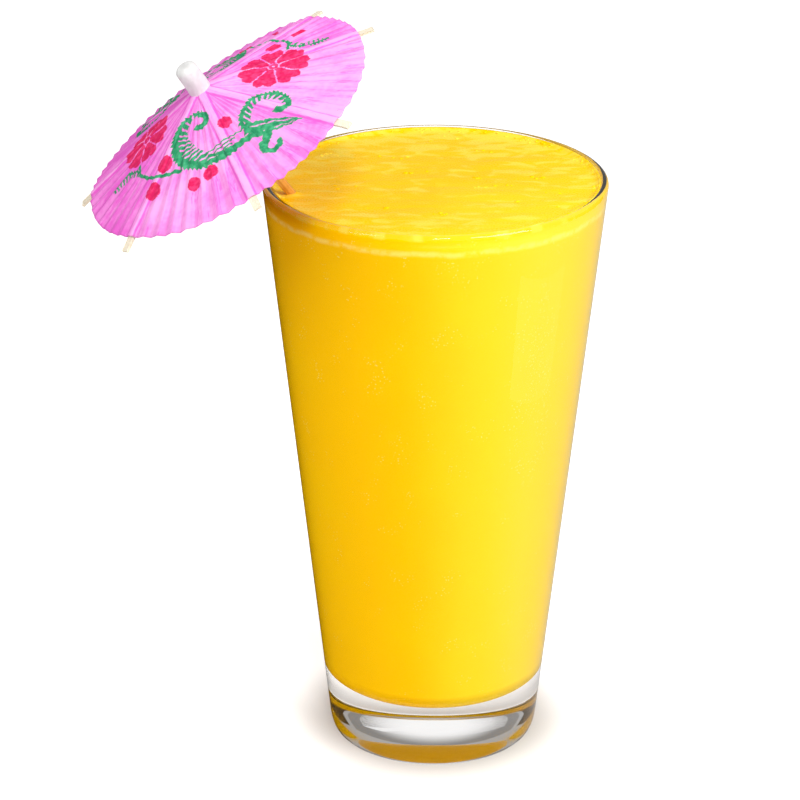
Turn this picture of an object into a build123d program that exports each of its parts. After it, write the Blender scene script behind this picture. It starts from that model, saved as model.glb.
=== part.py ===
from build123d import *
import math
import os

# A conical pint glass filled with mango smoothie, with a paper parasol stuck into the drink.
# Millimetres, +Z up. The origin is the centre of the glass's foot, on the surface it stands on.

# Glass: a tumbler whose straight side widens from the foot to the mouth
glass_height = 156.25
mouth_radius = 44.45  # outside, at the rim: the standard 3.5 inch mouth
foot_radius = 27.65  # outside, where the side would meet the table without its rounding
wall = 2.4  # side wall, measured level
base_thickness = 16.0
heel_rounding = 4.5  # between the side and the foot, outside
well_rounding = 11.5  # between the side and the floor, inside
rim_rounding = 1.1  # both edges of the rim

# Smoothie
fill_gap = 1.25  # from the rim down to the drink's surface

# Parasol stick, which leans out over the rim
stick_radius = 1.15
stick_length = 100.0
stick_point = 6.0  # length of the sharpened end
stick_inset = 4.5  # from the inside of the wall to the stick's axis, at the drink's surface
stick_side = 194.6  # bearing of that point about the glass, from +X
lean_bearing = 205.3  # the way the whole parasol leans, from +X
stick_lean = 38.0  # from upright
stick_reach = 40.3  # along the stick, from the drink's surface to the top of the paper
stick_end = 5.5  # how far the stick stands up inside the cap

# Paper canopy: a pleated cone glued on its ribs, which sits a little more upright than the stick
canopy_lean = 33.0
canopy_radius = 40.0
paper_thickness = 0.3
paper_hole_gap = 0.1
paper_plateau = 0.4  # flat ring of paper round the stick's hole
pleat_height = 0.5  # from ridge to valley, at the edge
pleats_per_gore = 8

# Ribs, at the uneven spacing of a hand-made parasol, turned about the canopy from its lowest point.
rib_turns = [21.5, 74.5, 115, 168, 205.5, 247.5, 289.5, 331.5]
rib_drop = 12.1  # from the peak to the paper's edge, along the axis
far_droop = 5.6  # how much lower the far side hangs, at its lowest
rib_width = 1.9
rib_root_width = 1.0
rib_taper = 12.0  # length over which a rib widens
rib_thickness = 0.6
rib_overhang = 3.7  # past the edge of the paper

# Stretchers, which run from the runner on the stick to the ribs
strut_width = 0.9
strut_thickness = 0.5
strut_foot = 17.0  # distance from the canopy's axis at which a stretcher meets its rib

# Turned pieces on the stick
cap_radius = 2.85
cap_length = 8.2
cap_rounding = 1.6
hub_radius = 2.7
hub_height = 2.6
runner_wall = 1.5
runner_height = 4.0
runner_drop = 14.0  # from the top of the paper to the middle of the runner
keeper_wall = 0.7
keeper_height = 2.5
slot_depth = 0.9  # how far ribs and stretchers reach into the hub and the runner

os.makedirs("parts", exist_ok=True)


def outer_radius(height):
    """Outside radius of the glass's straight side at a height."""
    return foot_radius + (mouth_radius - foot_radius) * height / glass_height


def leaning_plane(origin, lean):
    """A plane whose Z leans from upright towards the lean's bearing, with X pointing down that way."""
    tilt, bearing = math.radians(lean), math.radians(lean_bearing)
    along = Vector(math.cos(bearing), math.sin(bearing), 0)
    up = Vector(0, 0, 1)
    return Plane(
        origin=origin,
        x_dir=along * math.cos(tilt) - up * math.sin(tilt),
        z_dir=along * math.sin(tilt) + up * math.cos(tilt),
    )


def outward(plane, turn):
    """The direction in a plane at a turn from its X."""
    angle = math.radians(turn)
    return plane.x_dir * math.cos(angle) + plane.y_dir * math.sin(angle)


# Places worked out from the sizes above
fill_level = glass_height - fill_gap
entry_radius = outer_radius(fill_level) - wall - stick_inset
entry_angle = math.radians(stick_side)
entry = Vector(entry_radius * math.cos(entry_angle), entry_radius * math.sin(entry_angle), fill_level)
stick_plane = leaning_plane(entry, stick_lean)
canopy_top = entry + stick_plane.z_dir * stick_reach
canopy_plane = leaning_plane(canopy_top, canopy_lean)

far_shares = [max(0.0, -math.sin(math.radians(turn))) ** 2 for turn in rib_turns]
rib_drops = [round(rib_drop + far_droop * share, 1) for share in far_shares]
rib_slopes = [drop / canopy_radius for drop in rib_drops]  # each rib's fall for each unit outwards
steepest = max(rib_slopes)
gentlest = min(rib_slopes)
slant = math.hypot(1, gentlest)  # turns a thickness square to the paper into a drop
rib_tip = canopy_radius + rib_overhang / slant
rib_reach = rib_tip + 2.0  # where the pleated cone that trims the ribs ends
plateau_radius = stick_radius + paper_hole_gap + paper_plateau
valley_share = 1 - pleat_height / min(rib_drops)


def fall(radius, slope, depth=0.0):
    """Height in the canopy plane of a ridge at a radius, or of a surface so far below the paper's top."""
    return -slope * radius - depth * slant


def pleated_outline(radius):
    """Corners of the pleated cone at the level where its steepest rib is at a radius."""
    corners = []
    turns = rib_turns + [rib_turns[0] + 360]
    slopes = rib_slopes + rib_slopes[:1]
    for gore in range(len(rib_turns)):
        for pleat in range(pleats_per_gore):
            for share, reach in ((0, radius), (0.5, radius * valley_share)):
                along = (pleat + share) / pleats_per_gore
                turn = math.radians(turns[gore] + (turns[gore + 1] - turns[gore]) * along)
                slope = slopes[gore] + (slopes[gore + 1] - slopes[gore]) * along
                reach *= steepest / slope
                corners.append((reach * math.cos(turn), reach * math.sin(turn)))
    return corners


def pleated_cone(depth):
    """The solid under the pleated surface that lies so far below the paper's top."""
    with BuildPart() as cone:
        for radius in (rib_reach, plateau_radius):
            with BuildSketch(canopy_plane.offset(fall(radius, steepest, depth))):
                with BuildLine():
                    Polyline(*pleated_outline(radius), close=True)
                make_face()
        loft(ruled=True)
    return cone.part


# Glass
with BuildPart() as glass:
    with BuildSketch(Plane.XZ) as glass_section:
        floor_corner = (outer_radius(base_thickness) - wall, base_thickness)
        with BuildLine():
            Polyline(
                (0, 0),
                (foot_radius, 0),
                (mouth_radius, glass_height),
                (mouth_radius - wall, glass_height),
                floor_corner,
                (0, base_thickness),
                close=True,
            )
        make_face()
        for corner, radius in (
            ((foot_radius, 0), heel_rounding),
            ((mouth_radius, glass_height), rim_rounding),
            ((mouth_radius - wall, glass_height), rim_rounding),
            (floor_corner, well_rounding),
        ):
            fillet(glass_section.vertices().sort_by_distance(corner)[0], radius)
    revolve(axis=Axis.Z)
glass.part.label = "glass"
export_step(glass.part, "parts/glass.step")

# Stick, sharpened at its lower end
stick_bottom = stick_reach + stick_end - stick_length
with BuildPart() as parasol_stick:
    with BuildSketch(Plane(origin=entry, x_dir=stick_plane.x_dir, z_dir=-stick_plane.y_dir)):
        with BuildLine():
            Polyline(
                (0, stick_bottom),
                (stick_radius, stick_bottom + stick_point),
                (stick_radius, stick_reach + stick_end),
                (0, stick_reach + stick_end),
                close=True,
            )
        make_face()
    revolve(axis=Axis(entry, stick_plane.z_dir))
parasol_stick.part.label = "parasol_stick"
export_step(parasol_stick.part, "parts/parasol_stick.step")

# Smoothie: fills the glass up to its level and closes round the stick
with BuildPart() as smoothie:
    with BuildSketch(Plane.XZ):
        low, high = base_thickness - 1.0, fill_level
        with BuildLine():
            Polyline(
                (0, low),
                (outer_radius(low) - wall / 2, low),
                (outer_radius(high) - wall / 2, high),
                (0, high),
                close=True,
            )
        make_face()
    revolve(axis=Axis.Z)
    add(glass.part, mode=Mode.SUBTRACT)
    add(parasol_stick.part, mode=Mode.SUBTRACT)
smoothie.part.label = "smoothie"
export_step(smoothie.part, "parts/smoothie.step")

# Paper canopy: the pleated cone, hollowed from below, trimmed round and pierced for the stick
over_paper = pleated_cone(0)
under_paper = pleated_cone(paper_thickness)
with BuildPart() as parasol_canopy:
    add(over_paper)
    add(under_paper, mode=Mode.SUBTRACT)
    with BuildSketch(canopy_plane):
        Circle(canopy_radius)
    extrude(amount=rib_reach, both=True, mode=Mode.INTERSECT)
    with BuildSketch(stick_plane.offset(stick_reach)):
        Circle(stick_radius + paper_hole_gap)
    extrude(amount=hub_height, both=True, mode=Mode.SUBTRACT)
parasol_canopy.part.label = "parasol_canopy"
export_step(parasol_canopy.part, "parts/parasol_canopy.step")

# Ribs: bamboo strips glued under the paper, narrow at the hub
ribs = []
rib_root = hub_radius - slot_depth
for number, (turn, slope) in enumerate(zip(rib_turns, rib_slopes), start=1):
    along = outward(canopy_plane, turn)
    rib_under = paper_thickness + rib_thickness
    with BuildPart() as rib:
        with BuildSketch(Plane(canopy_top, x_dir=along, z_dir=along.cross(canopy_plane.z_dir))):
            with BuildLine():
                Polyline(
                    (rib_root, fall(rib_root, slope, rib_under)),
                    (rib_tip, fall(rib_tip, slope, rib_under)),
                    (rib_tip, fall(rib_tip, slope)),
                    (rib_root, fall(rib_root, slope)),
                    close=True,
                )
            make_face()
        extrude(amount=rib_width / 2, both=True)
        low = fall(rib_reach, slope, rib_under)
        with BuildSketch(Plane(canopy_top, x_dir=along, z_dir=canopy_plane.z_dir).offset(low)):
            with BuildLine():
                Polyline(
                    (rib_root, -rib_root_width / 2),
                    (rib_root + rib_taper, -rib_width / 2),
                    (rib_reach, -rib_width / 2),
                    (rib_reach, rib_width / 2),
                    (rib_root + rib_taper, rib_width / 2),
                    (rib_root, rib_root_width / 2),
                    close=True,
                )
            make_face()
        extrude(amount=-low, mode=Mode.INTERSECT)
        add(under_paper, mode=Mode.INTERSECT)
    rib.part.label = f"parasol_rib_{number}"
    export_step(rib.part, f"parts/parasol_rib_{number}.step")
    ribs.append(rib.part)

# Hub: the ring under the peak that holds the ribs' ends in its slots
with BuildPart() as parasol_hub:
    with BuildSketch(canopy_plane.offset(fall(hub_radius, gentlest, paper_thickness) - hub_height)):
        Circle(hub_radius)
    extrude(amount=2 * hub_height)
    add(under_paper, mode=Mode.INTERSECT)
    add(parasol_stick.part, mode=Mode.SUBTRACT)
    for rib_part in ribs:
        add(rib_part, mode=Mode.SUBTRACT)
parasol_hub.part.label = "parasol_hub"
export_step(parasol_hub.part, "parts/parasol_hub.step")

# Stretchers: each props its rib from a slot in the runner
struts = []
runner_middle = stick_reach - runner_drop
for number, (turn, slope) in enumerate(zip(rib_turns, rib_slopes), start=1):
    slot_radius = stick_radius + runner_wall - slot_depth
    under_rib = paper_thickness + rib_thickness
    along = outward(canopy_plane, turn)
    lower = entry + stick_plane.z_dir * runner_middle + outward(stick_plane, turn) * slot_radius
    upper = canopy_top + along * strut_foot + canopy_plane.z_dir * fall(strut_foot, slope, under_rib)
    run = upper - lower
    rib_underside = Plane(
        canopy_top + canopy_plane.z_dir * fall(0, slope, under_rib),
        z_dir=canopy_plane.z_dir + along * slope,
    )
    with BuildPart() as strut:
        with BuildSketch(Plane(lower, x_dir=run.cross(canopy_plane.z_dir), z_dir=run)):
            Rectangle(strut_width, strut_thickness)
        extrude(amount=run.length + strut_thickness)
        split(bisect_by=rib_underside, keep=Keep.BOTTOM)
    strut.part.label = f"parasol_strut_{number}"
    export_step(strut.part, f"parts/parasol_strut_{number}.step")
    struts.append(strut.part)

# Runner: the collar that slides on the stick and holds the stretchers' ends
with BuildPart() as parasol_runner:
    with BuildSketch(stick_plane.offset(runner_middle)):
        Circle(stick_radius + runner_wall)
    extrude(amount=runner_height / 2, both=True)
    add(parasol_stick.part, mode=Mode.SUBTRACT)
    for strut_part in struts:
        add(strut_part, mode=Mode.SUBTRACT)
parasol_runner.part.label = "parasol_runner"
export_step(parasol_runner.part, "parts/parasol_runner.step")

# Keeper: the short sleeve under the runner that keeps the parasol open
with BuildPart() as parasol_keeper:
    with BuildSketch(stick_plane.offset(runner_middle - runner_height / 2)):
        Circle(stick_radius + keeper_wall)
    extrude(amount=-keeper_height)
    add(parasol_stick.part, mode=Mode.SUBTRACT)
parasol_keeper.part.label = "parasol_keeper"
export_step(parasol_keeper.part, "parts/parasol_keeper.step")

# Cap: the round-topped plug on the stick's end, which presses the paper on the hub
with BuildPart() as parasol_cap:
    cap_bottom = fall(cap_radius, steepest)
    with BuildSketch(canopy_plane.offset(cap_bottom)):
        Circle(cap_radius)
    extrude(amount=cap_length)
    fillet(parasol_cap.edges().sort_by(Axis(canopy_top, canopy_plane.z_dir))[-1], cap_rounding)
    add(over_paper, mode=Mode.SUBTRACT)
    add(parasol_stick.part, mode=Mode.SUBTRACT)
parasol_cap.part.label = "parasol_cap"
export_step(parasol_cap.part, "parts/parasol_cap.step")
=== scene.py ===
import math
import random

import bmesh
import bpy
from mathutils import Matrix, Vector, noise


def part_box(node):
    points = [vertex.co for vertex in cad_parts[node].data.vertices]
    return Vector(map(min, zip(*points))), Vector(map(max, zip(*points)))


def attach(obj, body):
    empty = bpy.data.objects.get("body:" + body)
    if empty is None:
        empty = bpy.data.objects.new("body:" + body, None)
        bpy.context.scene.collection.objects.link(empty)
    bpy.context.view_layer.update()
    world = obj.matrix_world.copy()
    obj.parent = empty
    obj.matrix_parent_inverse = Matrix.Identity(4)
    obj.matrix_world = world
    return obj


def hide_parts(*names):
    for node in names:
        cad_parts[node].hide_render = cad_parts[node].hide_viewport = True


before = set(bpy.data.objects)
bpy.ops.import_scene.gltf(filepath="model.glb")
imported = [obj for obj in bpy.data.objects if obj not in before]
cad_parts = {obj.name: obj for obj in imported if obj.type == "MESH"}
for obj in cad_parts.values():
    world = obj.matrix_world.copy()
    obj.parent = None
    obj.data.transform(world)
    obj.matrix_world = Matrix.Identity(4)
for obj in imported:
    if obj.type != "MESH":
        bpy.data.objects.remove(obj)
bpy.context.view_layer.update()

# A full glass of mango smoothie with a paper parasol. Metres; the sizes repeat the part's own.
MM = 0.001

# Glass
glass_low, glass_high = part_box("glass")
glass_height = glass_high.z - glass_low.z
mouth_radius = 44.45 * MM
foot_radius = 27.65 * MM
wall = 2.4 * MM
base_thickness = 16.0 * MM
heel_rounding = 4.5 * MM
well_rounding = 11.5 * MM
rim_rounding = 1.1 * MM
foot_ring = 23.0 * MM  # inner radius of the ring the glass stands on
foot_hollow = 1.9 * MM

# Smoothie
fill_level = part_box("smoothie")[1].z
bite = 0.2 * MM  # how far the drink reaches into the glass's wall
meniscus = 0.9 * MM  # how high the drink climbs the wall
froth_depth = 3.9  # millimetres, from the level down to the line of froth at the wall
paler_and_lit_bearing = -45  # degrees, where the drink at the wall is palest: partly its own tone, partly painted light
bubbly_and_lit_bearing = -51  # degrees, where bubbles gather most at the wall, partly painted light on the lit side

# Parasol
stick_radius = 1.15 * MM
stick_length = 100.0 * MM
stick_point = 6.0 * MM
stick_inset = 4.5 * MM
stick_side = math.radians(194.6)
lean_bearing = math.radians(205.3)
stick_lean = math.radians(38.0)
stick_reach = 40.3 * MM
stick_end = 5.5 * MM
canopy_lean = math.radians(33.0)
canopy_radius = 40.0 * MM
paper_thickness = 0.25 * MM
pleats_per_gore = 8
pleat_depth = 0.62 * MM
gore_sag = 0.4 * MM
band_width = 2.1 * MM  # of the paper pressed over a rib
gore_shades = [0.6, 0.5, 0.75, 0.4, 0.35, 0.2, 0.1, 0.15]  # how pale each gore is, from the first rib on: partly dye, partly painted shade
rib_turns = [21.5, 74.5, 115, 168, 205.5, 247.5, 289.5, 331.5]
rib_drop = 12.1  # millimetres, from the peak to the paper's edge, along the axis
far_droop = 5.6  # millimetres that the far side hangs lower, at its lowest
rib_width = 1.9 * MM
rib_root_width = 1.0 * MM
rib_taper = 12.0 * MM
rib_thickness = 0.6 * MM
rib_overhang = 3.7 * MM
rib_sink = 0.3 * MM  # from the canopy's mean surface down to the top of a rib
strut_width = 0.9 * MM
strut_thickness = 0.5 * MM
strut_foot = 17.0 * MM
cap_radius = 2.85 * MM
cap_length = 8.2 * MM
cap_rounding = 1.6 * MM
hub_radius = 2.7 * MM
hub_height = 2.6 * MM
runner_wall = 1.5 * MM
runner_height = 4.0 * MM
runner_drop = 14.0 * MM
keeper_wall = 0.7 * MM
keeper_height = 2.5 * MM
slot_depth = 0.9 * MM

# Stage
floor_gap = 0.3 * MM  # from the glass's foot down to the floor
brightest_bearing = 28  # degrees, where the card under the glass is brightest in its reflections


def outer_radius(height):
    """Outside radius of the glass's straight side at a height."""
    return foot_radius + (mouth_radius - foot_radius) * height / glass_height


def leaning_frame(origin, lean):
    """The place of a frame whose Z leans towards the lean's bearing, with X pointing down that way."""
    along = Vector((math.cos(lean_bearing), math.sin(lean_bearing), 0))
    up = Vector((0, 0, 1))
    z_axis = along * math.sin(lean) + up * math.cos(lean)
    x_axis = along * math.cos(lean) - up * math.sin(lean)
    turned = Matrix((x_axis, z_axis.cross(x_axis), z_axis)).transposed().to_4x4()
    return Matrix.Translation(origin) @ turned


entry_radius = outer_radius(fill_level) - wall - stick_inset
entry = Vector((entry_radius * math.cos(stick_side), entry_radius * math.sin(stick_side), fill_level))
stick_frame = leaning_frame(entry, stick_lean)
canopy_top = stick_frame @ Vector((0, 0, stick_reach))
canopy_frame = leaning_frame(canopy_top, canopy_lean)
canopy_up = canopy_frame.to_3x3() @ Vector((0, 0, 1))
far_shares = [max(0.0, -math.sin(math.radians(turn))) ** 2 for turn in rib_turns]
rib_drops = [round(rib_drop + far_droop * share, 1) for share in far_shares]
rib_slopes = [drop * MM / canopy_radius for drop in rib_drops]
gentlest, steepest = min(rib_slopes), max(rib_slopes)
slant = math.hypot(1, gentlest)
rib_tip = canopy_radius + rib_overhang / slant


# Materials

class Value:
    """A number or colour that varies over a surface. Arithmetic on it adds Math nodes."""

    def __init__(self, finish, socket):
        self.finish = finish
        self.socket = socket

    def math(self, operation, *others):
        """A Math node with this value first."""
        return self.finish.math(operation, self, *others)

    def __add__(self, other):
        return self.math("ADD", other)

    def __sub__(self, other):
        return self.math("SUBTRACT", other)

    def __rsub__(self, other):
        return self.finish.math("SUBTRACT", other, self)

    def __mul__(self, other):
        return self.math("MULTIPLY", other)

    def __truediv__(self, other):
        return self.math("DIVIDE", other)

    def __abs__(self):
        return self.math("ABSOLUTE")

    __radd__ = __add__
    __rmul__ = __mul__


class Finish:
    """A material whose nodes are added one call at a time."""

    def __init__(self, name):
        self.material = bpy.data.materials.new(name)
        self.material.use_nodes = True
        self.tree = self.material.node_tree
        self.tree.nodes.clear()

    def node(self, kind, inputs=None, output=0, **settings):
        """Adds a node: its settings first, then a value or a link for each socket named."""
        made = self.tree.nodes.new(kind)
        for setting, value in settings.items():
            setattr(made, setting, value)
        for key, value in (inputs or {}).items():
            if isinstance(value, Value):
                self.tree.links.new(value.socket, made.inputs[key])
            else:
                made.inputs[key].default_value = value
        return Value(self, made.outputs[output])

    def math(self, operation, *values):
        """A Math node of any operation."""
        return self.node("ShaderNodeMath", dict(enumerate(values)), operation=operation)

    def mix(self, factor, first, second):
        """Blends two colours."""
        return self.node("ShaderNodeMix", {0: factor, 6: first, 7: second}, 2, data_type="RGBA")

    def scale(self, value, low, high, to_low=0.0, to_high=1.0):
        """Carries a range of a value to another range, clamped and smooth at its ends."""
        stops = {"Value": value, "From Min": low, "From Max": high, "To Min": to_low, "To Max": to_high}
        return self.node("ShaderNodeMapRange", stops, interpolation_type="SMOOTHSTEP")

    def noise(self, place, scale, detail=2.0, roughness=0.5, distortion=0.0):
        """Soft random variation from 0 to 1."""
        inputs = {
            "Vector": place,
            "Scale": scale,
            "Detail": detail,
            "Roughness": roughness,
            "Distortion": distortion,
        }
        return self.node("ShaderNodeTexNoise", inputs)

    def curve(self, value, points, height):
        """A smooth curve drawn through given points from 0 to 1 across, times a height."""
        made = self.node("ShaderNodeFloatCurve", {"Value": value})
        mapping = made.socket.node.mapping
        line = mapping.curves[0]
        for point, (across, up) in zip(line.points, (points[0], points[-1])):
            point.location = (across, up / height)
        for across, up in points[1:-1]:
            line.points.new(across, up / height)
        mapping.update()
        return made * height

    def place(self, matrix=None, stretch=(1.0, 1.0, 1.0)):
        """Object coordinates in millimetres, in the frame of a matrix, each axis divided by its stretch."""
        here = self.node("ShaderNodeTexCoord", output="Object")
        matrix = matrix or Matrix.Identity(4)
        inputs = {
            "Vector": here,
            "Location": matrix.to_translation(),
            "Rotation": matrix.to_euler(),
            "Scale": [MM * s for s in stretch],
        }
        return self.node("ShaderNodeMapping", inputs, vector_type="TEXTURE")

    def split(self, vector):
        """The three numbers of a vector."""
        return [self.node("ShaderNodeSeparateXYZ", {0: vector}, axis) for axis in range(3)]

    def bump(self, height, strength, distance=0.1 * MM):
        """A normal that leans as a height from 0 to 1 rises and falls."""
        inputs = {"Height": height, "Strength": strength, "Distance": distance}
        return self.node("ShaderNodeBump", inputs, "Normal")

    def surface(self, shader):
        """Ends the nodes with a shader and gives the material."""
        end = self.tree.nodes.new("ShaderNodeOutputMaterial")
        self.tree.links.new(shader.socket, end.inputs["Surface"])
        return self.material

    def principled(self, **sockets):
        """A Principled shader, its sockets named with underscores for spaces."""
        inputs = {key.replace("_", " "): value for key, value in sockets.items()}
        return self.node("ShaderNodeBsdfPrincipled", inputs)


def colour(red, green, blue):
    """A colour given as it looks on a screen, from 0 to 255."""
    def linear(level):
        level /= 255
        return level / 12.92 if level <= 0.04045 else ((level + 0.055) / 1.055) ** 2.4
    return (linear(red), linear(green), linear(blue), 1.0)


def clear_glass():
    """Colourless glass that lets lamps and soft light through to what it holds."""
    finish = Finish("clear_glass")
    body = finish.node("ShaderNodeBsdfGlass", {"Color": (1, 1, 1, 1), "Roughness": 0.0, "IOR": 1.5})
    gone = finish.node("ShaderNodeBsdfTransparent", {"Color": (0.97, 0.97, 0.97, 1)})
    shadow = finish.node("ShaderNodeLightPath", output="Is Shadow Ray")
    soft = finish.node("ShaderNodeLightPath", output="Is Diffuse Ray")
    passing = shadow.math("MAXIMUM", soft)
    return finish.surface(finish.node("ShaderNodeMixShader", {0: passing, 1: body, 2: gone}))


def mango_smoothie():
    """Thick yellow fruit drink: a wet skin with pale streaks, and froth and fine bubbles at the glass."""
    finish = Finish("mango_smoothie")
    place = finish.place()
    x, y, z = finish.split(place)
    level = fill_level / MM
    bearing = y.math("ARCTAN2", x) * (180 / math.pi)
    # Deeper on one side and paler on the other: partly the drink's own tone, partly painted light and shade
    deep_and_shaded, ripe_and_lit = colour(255, 195, 0), colour(255, 208, 0)
    pale, froth = colour(255, 228, 80), colour(255, 236, 130)
    clouds = finish.noise(place, 0.05, 3.0)
    # Paler towards one bearing: painted light on the lit side, with some of the drink's own tone
    paler_and_lit_side = finish.scale(abs(bearing - paler_and_lit_bearing), 12.0, 62.0, 1.0, 0.0)
    ripeness_and_light = finish.scale(clouds * 0.5 + paler_and_lit_side * 0.45 + 0.03, 0.2, 0.75)
    tone = finish.mix(ripeness_and_light, deep_and_shaded, ripe_and_lit)
    tone = finish.mix(paler_and_lit_side * 0.28, tone, pale)

    # On top: pulp drawn out in streaks, thickest towards the far edge
    on_top = finish.scale(z, level - 0.9, level - 0.3)
    streaks = finish.noise(finish.place(stretch=(7.0, 3.2, 4.0)), 1.0, 2.0, 0.5, 0.6)
    outward = finish.scale((x * x + y * y).math("SQRT"), 14.0, 40.0)
    farther = finish.scale(y, -10.0, 40.0)
    streaked = finish.scale(streaks + outward * 0.07 + farther * 0.09, 0.55, 0.71) * on_top
    tone = finish.mix(on_top * 0.7, tone, colour(255, 213, 0))
    tone = finish.mix(streaked * 0.7, tone, pale)

    # At the glass: a wandering line of froth under the level, and bubbles that gather in places, partly
    # painted light
    height = level - froth_depth + (finish.noise(place, 0.12, 3.0) - 0.5) * 2.2
    mottle = finish.noise(place, 0.45, 3.0, 0.6)
    band = finish.scale(abs(z - height), 0.1, 1.2, 1.0, 0.0) * finish.scale(mottle, 0.25, 0.6)
    cells = finish.node("ShaderNodeTexVoronoi", {"Vector": place, "Scale": 1.3}, "Distance")
    # More froth towards one bearing: partly bubbles, partly painted light on the lit side
    bubbles_and_light_cluster = finish.scale(abs(bearing - bubbly_and_lit_bearing), 4.0, 15.0, 1.0, 0.0)
    bubbles_and_light_cluster = bubbles_and_light_cluster * finish.scale(z, 55.0, 95.0) * finish.scale(z, 128.0, 150.0, 1.0, 0.0)
    gathered = finish.scale(finish.noise(place, 0.16, 2.0) + bubbles_and_light_cluster * 0.2, 0.56, 0.68)
    bubbles = finish.scale(cells, 0.12, 0.3, 1.0, 0.0) * gathered
    beside = 1.0 - on_top
    tone = finish.mix((band * 0.45).math("MAXIMUM", bubbles * 0.6) * beside, tone, froth)

    grain = finish.noise(place, 1.8, 3.0)
    normal = finish.bump(streaks * 0.75 + grain * 0.25, 0.12, 0.3 * MM)
    shader = finish.principled(
        Base_Color=tone,
        Roughness=finish.scale(grain, 0.3, 0.7, 0.22, 0.34),
        Normal=normal,
        Coat_Weight=on_top * 0.05,
        Coat_Roughness=0.12,
        Specular_IOR_Level=0.04,
    )
    return finish.surface(shader)


def wood(name, light, dark, matrix, roughness):
    """Straight-grained wood, its grain along the Z of a frame."""
    finish = Finish(name)
    grain = finish.noise(finish.place(matrix, stretch=(0.35, 0.35, 9.0)), 1.0, 4.0, 0.6)
    fleck = finish.noise(finish.place(matrix), 1.5, 2.0)
    tone = finish.mix(finish.scale(grain * 0.8 + fleck * 0.2, 0.36, 0.64), light, dark)
    shader = finish.principled(Base_Color=tone, Roughness=roughness, Normal=finish.bump(grain, 0.4))
    return finish.surface(shader)


def white_cap():
    """Matt white moulding with a faint unevenness."""
    finish = Finish("white_cap")
    place = finish.place(canopy_frame)
    patches = finish.noise(place, 0.5, 3.0)
    tone = finish.mix(finish.scale(patches, 0.35, 0.65), colour(228, 228, 227), colour(214, 213, 211))
    shader = finish.principled(
        Base_Color=tone, Roughness=0.55, Normal=finish.bump(finish.noise(place, 2.0, 3.0), 0.25)
    )
    return finish.surface(shader)


class Ink:
    """Shapes printed on the paper. Each is a distance in millimetres, below 0 where there is ink."""

    def __init__(self, finish, x, y):
        self.finish = finish
        self.x = x
        self.y = y

    def about(self, centre, turn=0.0):
        """Distances from a point, along and across a direction through it."""
        c, s = math.cos(math.radians(turn)), math.sin(math.radians(turn))
        dx, dy = self.x - centre[0], self.y - centre[1]
        return dx * c + dy * s, dy * c - dx * s

    def length(self, u, v):
        """Distance from a point, given the distances along and across."""
        return (u * u + v * v).math("SQRT")

    def berry(self, centre, across, along):
        """A round or long dot."""
        u, v = self.about(centre)
        return self.length(u / across, v / along) * across - across

    def arc(self, centre, radius, half_width, start, end, end_half_width=None):
        """A curved stroke, which can swell or thin towards its end."""
        u, v = self.about(centre, (start + end) / 2)
        angle = v.math("ARCTAN2", u)
        span = math.radians(end - start)
        half = half_width
        if end_half_width:
            half = self.finish.scale(angle, -span / 2, span / 2, half_width, end_half_width)
        return (abs(self.length(u, v) - radius) - half).math("MAXIMUM", (abs(angle) - span / 2) * radius)

    def stroke(self, start, end, half_width):
        """A straight stroke."""
        length = math.dist(start, end)
        turn = math.degrees(math.atan2(end[1] - start[1], end[0] - start[0]))
        middle = [(a + b) / 2 for a, b in zip(start, end)]
        u, v = self.about(middle, turn)
        return (abs(v) - half_width).math("MAXIMUM", abs(u) - length / 2)

    def flower(self, centre, radius, petals, phase):
        """Heart-shaped petals round an eye, with the paper showing between them."""
        u, v = self.about(centre, phase)
        far = self.length(u, v)
        share = (v.math("ARCTAN2", u) * (petals / math.tau)).math("FRACT")
        side = abs(share - 0.5)
        gap = 0.16 - (0.5 - side) * far * (math.tau / petals)
        lobe = abs(side - 0.2).math("POWER", 2.0) * 17.0
        petal = (far - radius + lobe).math("MAXIMUM", gap).math("MAXIMUM", 1.35 - far)
        return petal.math("MINIMUM", abs(far - 0.65) - 0.42)

    def frond(self, centre, start, outer, inner, teeth, slits):
        """A curled fern: a band between two drawn curves about a point, toothed outside and slit inside.

        The slits run straight out where the fern starts and lean over more and more along it.
        """
        u, v = self.about(centre, start)
        far = self.length(u, v)
        share = (v.math("ARCTAN2", u) / math.tau + 1.0).math("FRACT")
        tooth = abs((share * teeth - far * 0.35).math("FRACT") - 0.5) * 1.3
        outside = self.finish.curve(share, outer, 13.0)
        inside = self.finish.curve(share, inner, 13.0)
        band = (far - outside + tooth - 0.25).math("MAXIMUM", inside - far)
        lean = (far - inside) * (share - 0.12).math("MAXIMUM", 0.0) * 1.6
        line = abs((share * slits + lean).math("FRACT") - 0.5) * far * (math.tau / slits) - 0.27
        slit = line.math("MAXIMUM", far - inside - (outside - inside) * 0.6)
        return band.math("MAXIMUM", slit * -1.0)

    def leaf(self, base, tip, half_width):
        """A pointed leaf with pale veins that meet at its tip and a toothed edge."""
        length = math.dist(base, tip)
        turn = math.degrees(math.atan2(tip[1] - base[1], tip[0] - base[0]))
        u, v = self.about(base, turn)
        share = (u / length).math("MAXIMUM", 0.0).math("MINIMUM", 1.0)
        half = (1.0 - share.math("POWER", 2.2)) * half_width
        tooth = abs((u * 0.8).math("FRACT") - 0.5) * 0.5
        blade = (abs(v) - half + tooth).math("MAXIMUM", u * -1.0)
        vein = 0.13 - abs(abs(v) - half * 0.4)
        return blade.math("MAXIMUM", vein.math("MINIMUM", half * 0.6 - 0.65))

    def union(self, shapes):
        """All of some shapes as one."""
        joined = shapes[0]
        for shape in shapes[1:]:
            joined = joined.math("MINIMUM", shape)
        return joined


# The print is drawn twice: once between two turns, in degrees, and again half a turn on
first_print = (-45.0, 128.5)
second_offset = (1.8, -2.1)  # millimetres, twice the point that it is turned about
second_size = 1.1

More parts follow.
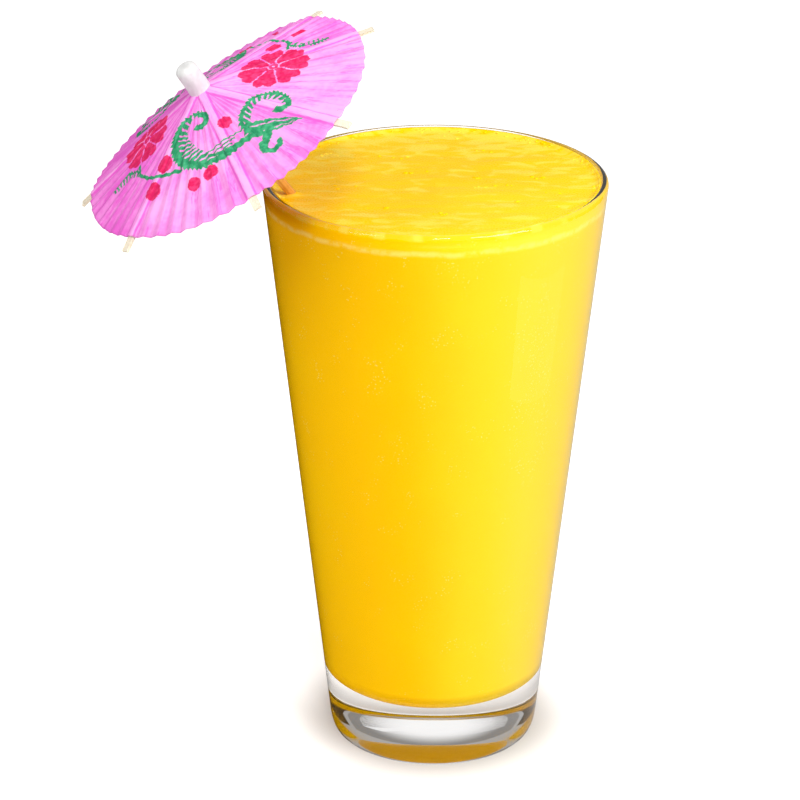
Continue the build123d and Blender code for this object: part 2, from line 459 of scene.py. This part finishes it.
# Berries of the print, each with its place on the canopy and its half sizes, in millimetres
berries = [
    ((2.0, 14.8), 1.8, 1.85), ((13.15, 23.1), 2.1, 2.0), ((17.85, 21.5), 1.85, 2.0),
    ((19.15, 8.4), 2.3, 2.6), ((25.8, 11.2), 2.25, 2.75), ((-21.8, -4.9), 1.95, 2.1),
    ((-29.7, -7.8), 1.95, 1.5), ((-2.9, -14.6), 1.8, 1.9), ((-13.0, -22.4), 2.0, 1.9),
    ((-18.4, -20.3), 1.8, 1.9), ((-26.8, -19.5), 0.9, 2.4),
]


# Outlines of the fronds: how far round from the start, as a share of a turn, and millimetres from the middle
large_outside = [
    (0.0, 7.0), (0.02, 7.5), (0.094, 8.4), (0.156, 9.3), (0.224, 9.8), (0.28, 9.9), (0.345, 9.85),
    (0.406, 9.8), (0.46, 9.9), (0.52, 10.2), (0.574, 11.1), (0.63, 11.9), (0.66, 0.0), (1.0, 0.0),
]
large_inside = [
    (0.0, 6.1), (0.104, 6.1), (0.183, 5.1), (0.288, 3.8), (0.419, 3.9), (0.514, 5.6), (0.566, 7.9),
    (0.63, 9.6), (0.69, 11.6), (1.0, 12.9),
]
small_outside = [
    (0.0, 6.1), (0.05, 6.4), (0.124, 6.1), (0.217, 5.8), (0.308, 5.9), (0.407, 6.2), (0.483, 7.1),
    (0.544, 7.8), (0.594, 8.0), (0.64, 7.0), (0.68, 0.0), (1.0, 0.0),
]
small_inside = [
    (0.0, 3.9), (0.047, 3.9), (0.15, 3.1), (0.27, 3.0), (0.388, 3.3), (0.498, 3.8), (0.562, 4.9),
    (0.601, 5.8), (0.7, 7.0), (1.0, 7.0),
]
feather_outside = [(0.0, 7.4), (0.04, 8.2), (0.2, 8.3), (0.235, 7.4), (0.25, 0.0), (1.0, 0.0)]
feather_inside = [(0.0, 6.2), (0.05, 6.1), (0.2, 6.1), (0.24, 6.7), (1.0, 12.0)]


def fern_ink(ink):
    """The green of the print: two curled ferns with their buds, a leaf, stems and a feathery sprig."""
    return ink.union([
        ink.frond((7.5, 12.5), 237, large_outside, large_inside, 46, 23),
        ink.arc((6.0, 8.5), 1.9, 0.85, 10, 255),
        ink.frond((-7.5, 19.5), 160, small_outside, small_inside, 34, 17),
        ink.arc((-10.8, 21.0), 1.9, 0.85, 5, 205),
        ink.leaf((0.6, 21.3), (-12.3, 29.2), 2.7),
        ink.arc((-2.0, 29.8), 2.1, 1.2, -110, 185, 0.65),
        ink.stroke((-1.6, 27.8), (-5.0, 24.8), 1.15),
        ink.stroke((-3.0, 24.3), (9.5, 22.3), 0.95),
        ink.stroke((0.0, 20.3), (12.5, 17.5), 0.25),
        ink.stroke((3.0, 20.6), (13.0, 19.0), 0.25),
        ink.stroke((4.5, 21.4), (13.0, 20.4), 0.3),
        ink.arc((5.9, -0.6), 19.1, 0.5, 3, 54),
        ink.stroke((25.0, 1.6), (22.8, -2.6), 0.38),
        ink.frond((31.6, 1.9), 190, feather_outside, feather_inside, 60, 40),
    ])


def gore_dye_and_shade(finish, turn):
    """How pale each gore between two ribs is, from 0 to 1: partly dye, partly painted shade."""
    blur = 0.003
    steps = [(0.0, gore_shades[-1])]
    for rib, before, after in zip(rib_turns, [gore_shades[-1]] + gore_shades[:-1], gore_shades):
        steps += [(rib / 360 - blur, before), (rib / 360 + blur, after)]
    steps.append((1.0, gore_shades[-1]))
    return finish.curve((turn / 360).math("FRACT"), steps, 1.0)


def off_nearest_rib(turn, rho):
    """Millimetres across the paper from the middle of the nearest rib."""
    apart = [abs((turn - rib + 180).math("WRAP", 360.0, 0.0) - 180) for rib in rib_turns]
    nearest = apart[0]
    for angle in apart[1:]:
        nearest = nearest.math("MINIMUM", angle)
    return (nearest * (math.pi / 180)).math("SINE") * rho


def printed_paper():
    """Pink pleated paper with a print of red flowers and berries and green ferns, drawn twice round."""
    finish = Finish("tissue_paper")
    place = finish.place(canopy_frame)
    wander = finish.noise(place, 0.25, 2.0) - 0.5
    jitter = (finish.noise(place, 1.8, 2.0) - 0.5) * 0.7
    x, y, _ = finish.split(place)
    turn = y.math("ARCTAN2", x) * (180 / math.pi)
    rho = (x * x + y * y).math("SQRT")

    # The second print stands opposite the first, a little larger
    start, end = first_print
    first = turn.math("GREATER_THAN", start).math("MINIMUM", turn.math("LESS_THAN", end))
    second = 1.0 - first
    local_x = x * first + (second_offset[0] - x) / second_size * second + wander * 0.8
    local_y = y * first + (second_offset[1] - y) / second_size * second + wander * 0.8
    ink = Ink(finish, local_x, local_y)
    everywhere = Ink(finish, x, y)
    dots = [everywhere.berry(centre, across, along) for centre, across, along in berries]
    green = fern_ink(ink)
    red = ink.union([ink.flower((17.3, -7.6), 7.9, 7, -8)] + dots)
    soft = 0.14
    on_green = finish.scale(green + jitter, -soft, soft, 1.0, 0.0)
    on_red = finish.scale(red + jitter, -soft, soft, 1.0, 0.0)

    # Each gore is part dyed, part painted shade, with a painted highlight over a rib and painted shade beside
    # it
    aside = off_nearest_rib(turn, rho)
    # Painted highlight on the band pressed over a rib; the same band also lifts the bump
    pressed_ridge_highlight = finish.scale(aside, 0.7, 1.0, 1.0, 0.0)
    # Painted shade in the crease beside each rib
    painted_crease_shade = finish.scale(abs(aside - 1.25), 0.1, 0.35, 1.0, 0.0)
    around = finish.node("ShaderNodeCombineXYZ", {0: turn * 0.3, 1: rho * 0.05, 2: 0.0})
    crease = finish.noise(around, 1.0, 3.0, 0.6)
    # Thin darker lines in the crumple: painted shade in its folds
    fold_shade = finish.scale(crease, 0.4, 0.43) - finish.scale(crease, 0.43, 0.46)
    fibre = finish.noise(place, 0.8, 4.0)
    blotch = finish.noise(place, 0.12, 3.0)
    mottle = finish.scale(crease * 0.4 + fibre * 0.2 + blotch * 0.4, 0.38, 0.62)
    depth = gore_dye_and_shade(finish, turn) * 0.6 + mottle * 0.4 + pressed_ridge_highlight * 0.3 - painted_crease_shade * 0.35 - fold_shade * 0.25
    pink = finish.mix(finish.scale(depth, 0.0, 1.0), colour(226, 94, 198), colour(248, 172, 231))
    red_ink = finish.mix(finish.scale(fibre, 0.35, 0.7), colour(218, 24, 88), colour(238, 62, 122))
    green_ink = finish.mix(finish.scale(fibre, 0.35, 0.7), colour(36, 140, 92), colour(72, 174, 124))
    # The ink darkens with the paper under it, so it takes the painted shade too
    dimmed = finish.scale(depth, 0.0, 0.6, 0.75, 0.0)
    red_ink = finish.mix(dimmed, red_ink, colour(196, 16, 84))
    green_ink = finish.mix(dimmed, green_ink, colour(30, 118, 84))
    tone = finish.mix(on_red, pink, red_ink)
    tone = finish.mix(on_green, tone, green_ink)
    shader = finish.principled(
        Base_Color=tone,
        Roughness=0.8,
        Normal=finish.bump(crease * 0.6 + fibre * 0.4 + pressed_ridge_highlight * 0.2, 0.45, 0.25 * MM),
        Specular_IOR_Level=0.2,
    )
    return finish.surface(shader)


# Shapes

def add_shape(name, bm, material):
    """Puts a shape in the scene, with its material."""
    mesh = bpy.data.meshes.new(name)
    bm.to_mesh(mesh)
    bm.free()
    mesh.materials.append(material)
    shape = bpy.data.objects.new(name, mesh)
    bpy.context.scene.collection.objects.link(shape)
    return shape


def finish_piece(name, bm, material, slot, *nodes, smooth=True):
    """Makes a shape a piece that rides on the glass, stands for its CAD nodes and wears its material."""
    for face in bm.faces:
        face.smooth = smooth
    piece = add_shape(name, bm, material)
    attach(piece, "root")
    if nodes:
        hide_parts(*nodes)
    return piece


def turned(outline, roundings, steps, cuts=None):
    """A shape spun about Z from an outline of (radius, height).

    Roundings are (point, radius, segments), and cuts say how often to divide some of the outline's runs.
    """
    bm = bmesh.new()
    corners = [Vector((radius, 0, height)) for radius, height in outline]
    points = [bm.verts.new(corner) for corner in corners]
    for run, (start, end) in enumerate(zip(points, points[1:])):
        parts = (cuts or {}).get(run, 0) + 1
        between = [bm.verts.new(start.co.lerp(end.co, part / parts)) for part in range(1, parts)]
        chain = [start, *between, end]
        for pair in zip(chain, chain[1:]):
            bm.edges.new(pair)
    for point, radius, segments in roundings:
        before, corner, after = corners[point - 1:point + 2]
        bend = (corner - before).angle(after - corner)
        bmesh.ops.bevel(
            bm,
            geom=[points[point]],
            offset=radius * math.tan(bend / 2),
            offset_type="OFFSET",
            segments=segments,
            profile=0.5,
            affect="VERTICES",
            material=-1,
        )
    bmesh.ops.spin(
        bm,
        geom=bm.verts[:] + bm.edges[:],
        cent=(0, 0, 0),
        axis=(0, 0, 1),
        angle=math.tau,
        steps=steps,
        use_merge=True,
    )
    bmesh.ops.remove_doubles(bm, verts=bm.verts, dist=1e-7)
    bmesh.ops.recalc_face_normals(bm, faces=bm.faces)
    return bm


def make_glass(material):
    """The tumbler: a straight cone with a thick base, rounded edges and a slightly hollow foot."""
    well = outer_radius(base_thickness) - wall
    outline = [
        (0, 0),
        (foot_radius, 0),
        (mouth_radius, glass_height),
        (mouth_radius - wall, glass_height),
        (well, base_thickness),
        (0, base_thickness),
    ]
    roundings = [
        (1, heel_rounding, 12),
        (2, rim_rounding, 8),
        (3, rim_rounding, 8),
        (4, well_rounding, 12),
    ]
    bm = turned(outline, roundings, 256, {0: 24})
    for vert in bm.verts:
        radius = math.hypot(vert.co.x, vert.co.y)
        if vert.co.z < 0.01 * MM and radius < foot_ring:
            vert.co.z += foot_hollow * (1 - (radius / foot_ring) ** 2)
    return finish_piece("tumbler", bm, material, "clear_glass", "glass")


mouth_inside = outer_radius(fill_level) - wall  # the glass's inner radius at the drink's level


def surface_relief(point):
    """Height of the drink's skin over its level: pulp streaks, a rise at the wall and at the stick."""
    radius = math.hypot(point.x, point.y)
    rise = meniscus * math.exp(-(mouth_inside - radius) / (0.9 * MM))
    off_stick = max(0.0, (point.xy - entry.xy).length - stick_radius)
    collar = 0.7 * MM * math.exp(-off_stick / (0.8 * MM))
    streak = noise.noise(Vector((point.x / (17 * MM), point.y / (6 * MM), 3.0)))
    lumps = noise.noise(Vector((point.x / (5 * MM), point.y / (2.2 * MM), 9.0)))
    fade = min(1.0, max(0.0, mouth_inside - radius) / (3 * MM))
    return rise + collar + fade * (0.2 * MM * streak + 0.06 * MM * lumps)


def make_smoothie(material):
    """The drink: fills the glass's inside, a little into its wall, under a rippled skin."""
    well = outer_radius(base_thickness) - wall + bite
    top = mouth_inside + bite
    outline = [
        (0, base_thickness - bite),
        (well, base_thickness - bite),
        (top, fill_level),
        (top - 4 * MM, fill_level),
        (0, fill_level),
    ]
    bm = turned(outline, [(1, well_rounding, 12)], 320, {1: 24, 2: 12, 3: 84})
    for vert in bm.verts:
        if vert.co.z > fill_level - 0.01 * MM:
            vert.co.z += surface_relief(vert.co)
    return finish_piece("drink", bm, material, "mango_smoothie", "smoothie")


def make_bubbles(material):
    """Froth: small domes in clusters over the drink and a scatter along the wall."""
    at_the_wall, clusters = 170, 16
    chance = random.Random(7)
    bm = bmesh.new()
    places = []
    for _ in range(at_the_wall):
        angle = chance.uniform(0, math.tau)
        radius = mouth_inside - chance.uniform(0.2, 1.6) * MM
        places.append((radius * math.cos(angle), radius * math.sin(angle), chance.uniform(0.18, 0.5) * MM))
    for _ in range(clusters):
        angle, radius = chance.uniform(0, math.tau), mouth_inside * math.sqrt(chance.uniform(0, 0.8))
        for _ in range(chance.randint(1, 5)):
            places.append((
                radius * math.cos(angle) + chance.gauss(0, 1.6) * MM,
                radius * math.sin(angle) + chance.gauss(0, 0.7) * MM,
                chance.uniform(0.25, 0.75) * MM,
            ))
    for x, y, size in places:
        height = fill_level + surface_relief(Vector((x, y, 0)))
        place = Matrix.Translation((x, y, height - 0.25 * size)) @ Matrix.Diagonal((1.3, 1.0, 0.7, 1.0))
        bmesh.ops.create_icosphere(bm, subdivisions=2, radius=size, matrix=place)
    return finish_piece("froth", bm, material, "mango_smoothie")


def gore_place(share):
    """Which gap between ribs a share of the way round falls in, and how far along it."""
    gore = min(int(share * len(rib_turns)), len(rib_turns) - 1)
    return gore, share * len(rib_turns) - gore


def between_ribs(values, gore, along, round_trip=0.0):
    """A value part of the way from one rib's to the next's."""
    start = values[gore]
    end = (values + [values[0] + round_trip])[gore + 1]
    return start + (end - start) * along


def paper_height(radius, gore, along):
    """Height of the paper in the canopy's frame: its fall, its pleats and a raised band on each rib."""
    out = radius / canopy_radius
    number = int(min(along * pleats_per_gore, pleats_per_gore - 1e-6))
    depth = pleat_depth * (1 + 0.7 * noise.noise(Vector((number * 1.7, gore * 3.1, 0.5))))
    zigzag = abs((along * pleats_per_gore % 1.0) - 0.5) * 2 - 0.5
    turn = math.radians(between_ribs(rib_turns, gore, along, 360))
    nearest = min(abs(math.remainder(turn - math.radians(rib), math.tau)) for rib in rib_turns)
    aside = radius * math.sin(min(nearest, math.pi / 2))
    band = 1 / (1 + math.exp((aside - band_width / 2) / (0.1 * MM)))
    sag = gore_sag * out * out * math.sin(math.pi * along)
    crumple = noise.noise(Vector((radius * math.cos(turn), radius * math.sin(turn), 0)) / (4 * MM))
    slope = between_ribs(rib_slopes, gore, along)
    return (
        -slope * radius
        - sag
        + depth * zigzag * out * (1 - band)
        + 0.25 * MM * band
        + 0.12 * MM * crumple * out
    )


def make_canopy(material):
    """The paper: a spoke spun round, then folded into pleats between unevenly spaced ribs."""
    spokes, rings = 80 * len(rib_turns), 72
    bm = bmesh.new()
    ends = [bm.verts.new((radius, 0, 0)) for radius in (stick_radius + 0.1 * MM, canopy_radius)]
    spoke = bm.edges.new(ends)
    bmesh.ops.subdivide_edges(bm, edges=[spoke], cuts=rings)
    bmesh.ops.spin(
        bm,
        geom=bm.verts[:] + bm.edges[:],
        cent=(0, 0, 0),
        axis=(0, 0, 1),
        angle=math.tau,
        steps=spokes,
        use_merge=True,
    )
    for vert in bm.verts:
        radius = math.hypot(vert.co.x, vert.co.y)
        share = math.atan2(vert.co.y, vert.co.x) / math.tau % 1.0
        gore, along = gore_place(round(share * spokes) % spokes / spokes)
        turn = math.radians(between_ribs(rib_turns, gore, along, 360))
        height = paper_height(radius, gore, along)
        vert.co = canopy_frame @ Vector((radius * math.cos(turn), radius * math.sin(turn), height))
    bmesh.ops.recalc_face_normals(bm, faces=bm.faces)
    if bm.faces[:][0].normal.dot(canopy_up) < 0:
        bmesh.ops.reverse_faces(bm, faces=bm.faces)
    piece = finish_piece("canopy_paper", bm, material, "tissue_paper", "parasol_canopy")
    shell = piece.modifiers.new("thickness", "SOLIDIFY")
    shell.thickness = paper_thickness
    shell.offset = -1.0
    return piece


def strip(start, end, widths, thickness, taper):
    """A split-bamboo strip with softened edges from one point to another, flat side to the paper.

    It widens from the first width to the second over the taper's length.
    """
    run = end - start
    along = run.normalized()
    side = along.cross(canopy_up).normalized()
    up = side.cross(along)
    bm = bmesh.new()
    bmesh.ops.create_cube(bm, size=1.0)
    lengthwise = [edge for edge in bm.edges if abs((edge.verts[0].co - edge.verts[1].co).x) > 0.5]
    bmesh.ops.subdivide_edges(bm, edges=lengthwise, cuts=7, use_grid_fill=True)
    root_width, full_width = widths
    for vert in bm.verts:
        reach = (vert.co.x + 0.5) * run.length
        width = root_width + (full_width - root_width) * min(1.0, reach / taper)
        vert.co = start + along * reach + side * (vert.co.y * width) + up * (vert.co.z * thickness)
    corners = [edge for edge in bm.edges if edge.calc_face_angle(0) > 1.0]
    bmesh.ops.bevel(
        bm,
        geom=corners,
        offset=0.09 * MM,
        offset_type="OFFSET",
        segments=2,
        profile=0.5,
        affect="EDGES",
        material=-1,
    )
    bmesh.ops.recalc_face_normals(bm, faces=bm.faces)
    return bm


def canopy_point(turn, radius, height):
    """A place under or over the paper, from its turn about the peak, its radius and its height."""
    angle = math.radians(turn)
    return canopy_frame @ Vector((radius * math.cos(angle), radius * math.sin(angle), height))


def make_ribs(material):
    """The strips under the paper, from their slots in the hub to past the paper's edge."""
    root = hub_radius - slot_depth
    drop = (rib_sink + rib_thickness / 2) * slant
    for number, (turn, slope) in enumerate(zip(rib_turns, rib_slopes), start=1):
        start = canopy_point(turn, root, -slope * root - drop)
        end = canopy_point(turn, rib_tip, -slope * rib_tip - drop)
        bm = strip(start, end, (rib_root_width, rib_width), rib_thickness, rib_taper)
        finish_piece(f"rib_{number}", bm, material, "bamboo", f"parasol_rib_{number}", smooth=False)


def make_struts(material):
    """The stretchers, from their slots in the runner up to the ribs."""
    slot_radius = stick_radius + runner_wall - slot_depth
    for number, (turn, slope) in enumerate(zip(rib_turns, rib_slopes), start=1):
        angle = math.radians(turn)
        lower = stick_frame @ Vector(
            (slot_radius * math.cos(angle), slot_radius * math.sin(angle), stick_reach - runner_drop)
        )
        foot = -slope * strut_foot - (rib_sink + rib_thickness) * slant
        upper = canopy_point(turn, strut_foot, foot)
        bm = strip(lower, upper, (strut_width, strut_width), strut_thickness, strut_foot)
        finish_piece(f"strut_{number}", bm, material, "bamboo", f"parasol_strut_{number}", smooth=False)


def rod(radius, low, high):
    """Outline of a plain rod about Z."""
    return [(0, low), (radius, low), (radius, high), (0, high)]


def make_turned_pieces(pale, stained, white):
    """The stick and what is threaded on it."""
    stick_top = stick_reach + stick_end
    stick_bottom = stick_top - stick_length
    edge = 0.25 * MM  # rounding of the small pieces' edges
    runner_top = stick_reach - runner_drop + runner_height / 2
    runner_bottom = runner_top - runner_height
    hub_top = -gentlest * hub_radius - rib_sink * slant
    cap_bottom = -steepest * cap_radius
    sharpened = [(0, stick_bottom), (stick_radius, stick_bottom + stick_point), (stick_radius, stick_top),
                 (0, stick_top)]
    pieces = [
        ("stick", stick_frame, stained, "stained_wood", sharpened, []),
        ("cap", canopy_frame, white, "white_cap", rod(cap_radius, cap_bottom, cap_bottom + cap_length),
         [(1, edge, 3), (2, cap_rounding, 10)]),
        ("hub", canopy_frame, pale, "pale_wood", rod(hub_radius, hub_top - hub_height, hub_top),
         [(1, edge, 3)]),
        ("runner", stick_frame, pale, "pale_wood", rod(stick_radius + runner_wall, runner_bottom, runner_top),
         [(1, edge, 3), (2, edge, 3)]),
        ("keeper", stick_frame, white, "white_cap",
         rod(stick_radius + keeper_wall, runner_bottom - keeper_height, runner_bottom), [(1, edge, 3)]),
    ]
    for name, place, material, slot, outline, roundings in pieces:
        bm = turned(outline, roundings, 48)
        bmesh.ops.transform(bm, matrix=place, verts=bm.verts)
        piece = finish_piece(name, bm, material, slot, f"parasol_{name}")
        piece.data.set_sharp_from_angle(angle=math.radians(40))


# Stage

def make_floor():
    """A white surface that keeps the glass's shadow, with a painted shadow: a faint grey halo round the foot.

    Its glow makes it white to the camera and through the glass. Reflections get a tenth of the glow.
    """
    finish = Finish("white_surface")
    x, y, _ = finish.split(finish.place())
    radius = (x * x + y * y).math("SQRT")
    edge = foot_radius / MM
    under = finish.scale(radius, edge - 9.0, edge - 5.0, 1.0, 0.0)
    # Painted shadow: grey fading out from the foot's edge, but not under the glass
    painted_shadow_halo = finish.scale(radius, edge - 6.0, edge + 19.0).math("MAXIMUM", under)
    white = finish.mix(painted_shadow_halo, (0.53, 0.53, 0.54, 1), (0.86, 0.855, 0.85, 1))
    lit = finish.node("ShaderNodeBsdfDiffuse", {"Color": white})
    # The glow also fades towards the foot, which keeps the painted shadow
    glow_tone = finish.mix(painted_shadow_halo, (0, 0, 0, 1), (0.55, 0.55, 0.55, 1))
    glow = finish.node("ShaderNodeEmission", {"Color": glow_tone, "Strength": 1.0})
    seen, through, mirrored = [
        finish.node("ShaderNodeLightPath", output=f"Is {kind} Ray")
        for kind in ("Camera", "Transmission", "Glossy")
    ]
    share = seen.math("MAXIMUM", through).math("MAXIMUM", mirrored * 0.1)
    dark = finish.node("ShaderNodeEmission", {"Color": (0, 0, 0, 1), "Strength": 0.0})
    shown = finish.node("ShaderNodeMixShader", {0: share, 1: dark, 2: glow})
    both = finish.node("ShaderNodeAddShader", {0: lit, 1: shown})
    bm = bmesh.new()
    bmesh.ops.create_grid(bm, x_segments=1, y_segments=1, size=3.0)
    bmesh.ops.translate(bm, vec=(0, 0, -floor_gap), verts=bm.verts)
    add_shape("floor", bm, finish.surface(both))


def make_board(name, centre, width, height, grey, faces=None, seen_through=True, mirrored=True, fades=None):
    """A card by the glass that only its refractions and reflections see.

    It faces the glass's axis unless told otherwise. It can fade round the glass, from its brightest
    bearing, or outwards from its middle.
    """
    finish = Finish(name)
    tone = (grey, grey, grey, 1)
    x, y, z = finish.split(finish.place())
    if fades == "round":
        aside = abs(y.math("ARCTAN2", x) * (180 / math.pi) - brightest_bearing)
        tone = finish.mix(finish.scale(aside, 38.0, 84.0, 1.0, 0.0), (0, 0, 0, 1), tone)
    if fades == "outwards":
        above = z - centre[2] / MM
        aside = (x * x + above * above).math("SQRT")
        tone = finish.mix(finish.scale(aside, 120.0, 600.0, 1.0, 0.0), (0.25, 0.25, 0.25, 1), tone)
    shade = finish.node("ShaderNodeEmission", {"Color": tone, "Strength": 1.0})
    normal = Vector(faces or (-centre[0], -centre[1], 0))
    facing = Matrix.Translation(centre) @ normal.to_track_quat("Z", "Y").to_matrix().to_4x4()
    bm = bmesh.new()
    bmesh.ops.create_grid(bm, x_segments=1, y_segments=1, size=0.5)
    bmesh.ops.transform(bm, matrix=facing @ Matrix.Diagonal((width, height, 1, 1)), verts=bm.verts)
    board = add_shape(name, bm, finish.surface(shade))
    board.visible_camera = False
    board.visible_diffuse = False
    board.visible_shadow = False
    board.visible_transmission = seen_through
    board.visible_glossy = mirrored


def add_lamp(name, bearing, climb, size, power, distance=0.9):
    """A soft box that faces the middle of the glass from a bearing and a height in degrees."""
    turn, rise = math.radians(bearing), math.radians(climb)
    away = Vector((math.cos(turn) * math.cos(rise), math.sin(turn) * math.cos(rise), math.sin(rise)))
    lamp = bpy.data.lights.new(name, "AREA")
    lamp.shape = "RECTANGLE"
    lamp.size, lamp.size_y = size
    lamp.energy = power
    holder = bpy.data.objects.new(name, lamp)
    holder.location = Vector((0, 0, glass_height / 2)) + away * distance
    holder.rotation_euler = away.to_track_quat("Z", "Y").to_euler()
    bpy.context.scene.collection.objects.link(holder)


def make_light():
    """A plain white surround and three soft boxes."""
    world = bpy.data.worlds.new("studio")
    bpy.context.scene.world = world
    world.use_nodes = True
    surround = world.node_tree.nodes["Background"]
    surround.inputs["Color"].default_value = (1, 1, 1, 1)
    surround.inputs["Strength"].default_value = 0.42
    add_lamp("key", -42, 42, (0.5, 0.35), 5.6)
    add_lamp("over_camera", -86, 56, (0.14, 0.14), 2.2)
    add_lamp("fill", -150, 34, (0.5, 0.5), 2.4)


def make_camera():
    """Looks along +Y and down on the glass, a little to its left."""
    pitch = math.radians(23.03)
    distance = 841.9 * MM
    target = Vector((-9.03 * MM, 0, 94.48 * MM))
    camera = bpy.data.cameras.new("camera")
    camera.sensor_width = 36.0
    camera.lens = 143.92
    camera.clip_start, camera.clip_end = 0.05, 20.0
    holder = bpy.data.objects.new("camera", camera)
    holder.location = target + Vector((0, -math.cos(pitch), math.sin(pitch))) * distance
    holder.rotation_euler = (math.pi / 2 - pitch, 0, 0)
    bpy.context.scene.collection.objects.link(holder)
    bpy.context.scene.camera = holder


bpy.context.scene.view_settings.view_transform = "Standard"
bpy.context.scene.cycles.transparent_max_bounces = 16
bpy.context.scene.cycles.max_bounces = 16
bpy.context.scene.cycles.transmission_bounces = 14
make_camera()
make_light()
make_floor()

# Two cards in one plane behind, which show through the clear base and mix where they overlap
make_board("backdrop", (0, 0.9, 0.25), 1.1, 0.6, 1.0, mirrored=False)
make_board("backdrop", (0, 0.9, 0.3), 1.6, 1.2, 1.0, mirrored=False, fades="outwards")

# A card between foot and floor, which the glass's side reflects in place of the white floor
make_board(
    "table_card", (0, 0, -floor_gap / 3), 1.6, 1.6, 0.5, faces=(0, 0, 1), seen_through=False, fades="round"
)

# A pale card gives the side its soft highlight, and dark flags draw the edges of the glass
make_board("tall_card", (0.110, -0.044, 0.079), 0.075, 0.043, 0.66, seen_through=False)
make_board("flag_left", (-0.42, 0.16, 0.16), 0.4, 0.36, 0.02)
make_board("flag_right", (0.42, 0.16, 0.16), 0.4, 0.36, 0.02)
make_board("low_flag_left", (-0.3, 0.15, 0.0), 0.42, 0.6, 0.03, faces=(0, 0, 1), mirrored=False)
make_board("low_flag_right", (0.3, 0.15, 0.0), 0.42, 0.6, 0.03, faces=(0, 0, 1), mirrored=False)

drink_finish = mango_smoothie()
make_glass(clear_glass())
make_smoothie(drink_finish)
make_bubbles(drink_finish)
make_canopy(printed_paper())
bamboo = wood("bamboo", colour(238, 228, 208), colour(224, 210, 184), canopy_frame, 0.6)
pale_wood = wood("pale_wood", colour(232, 218, 190), colour(206, 186, 150), canopy_frame, 0.55)
stained_wood = wood("stained_wood", colour(238, 178, 84), colour(216, 144, 52), stick_frame, 0.45)
make_ribs(bamboo)
make_struts(bamboo)
make_turned_pieces(pale_wood, stained_wood, white_cap())
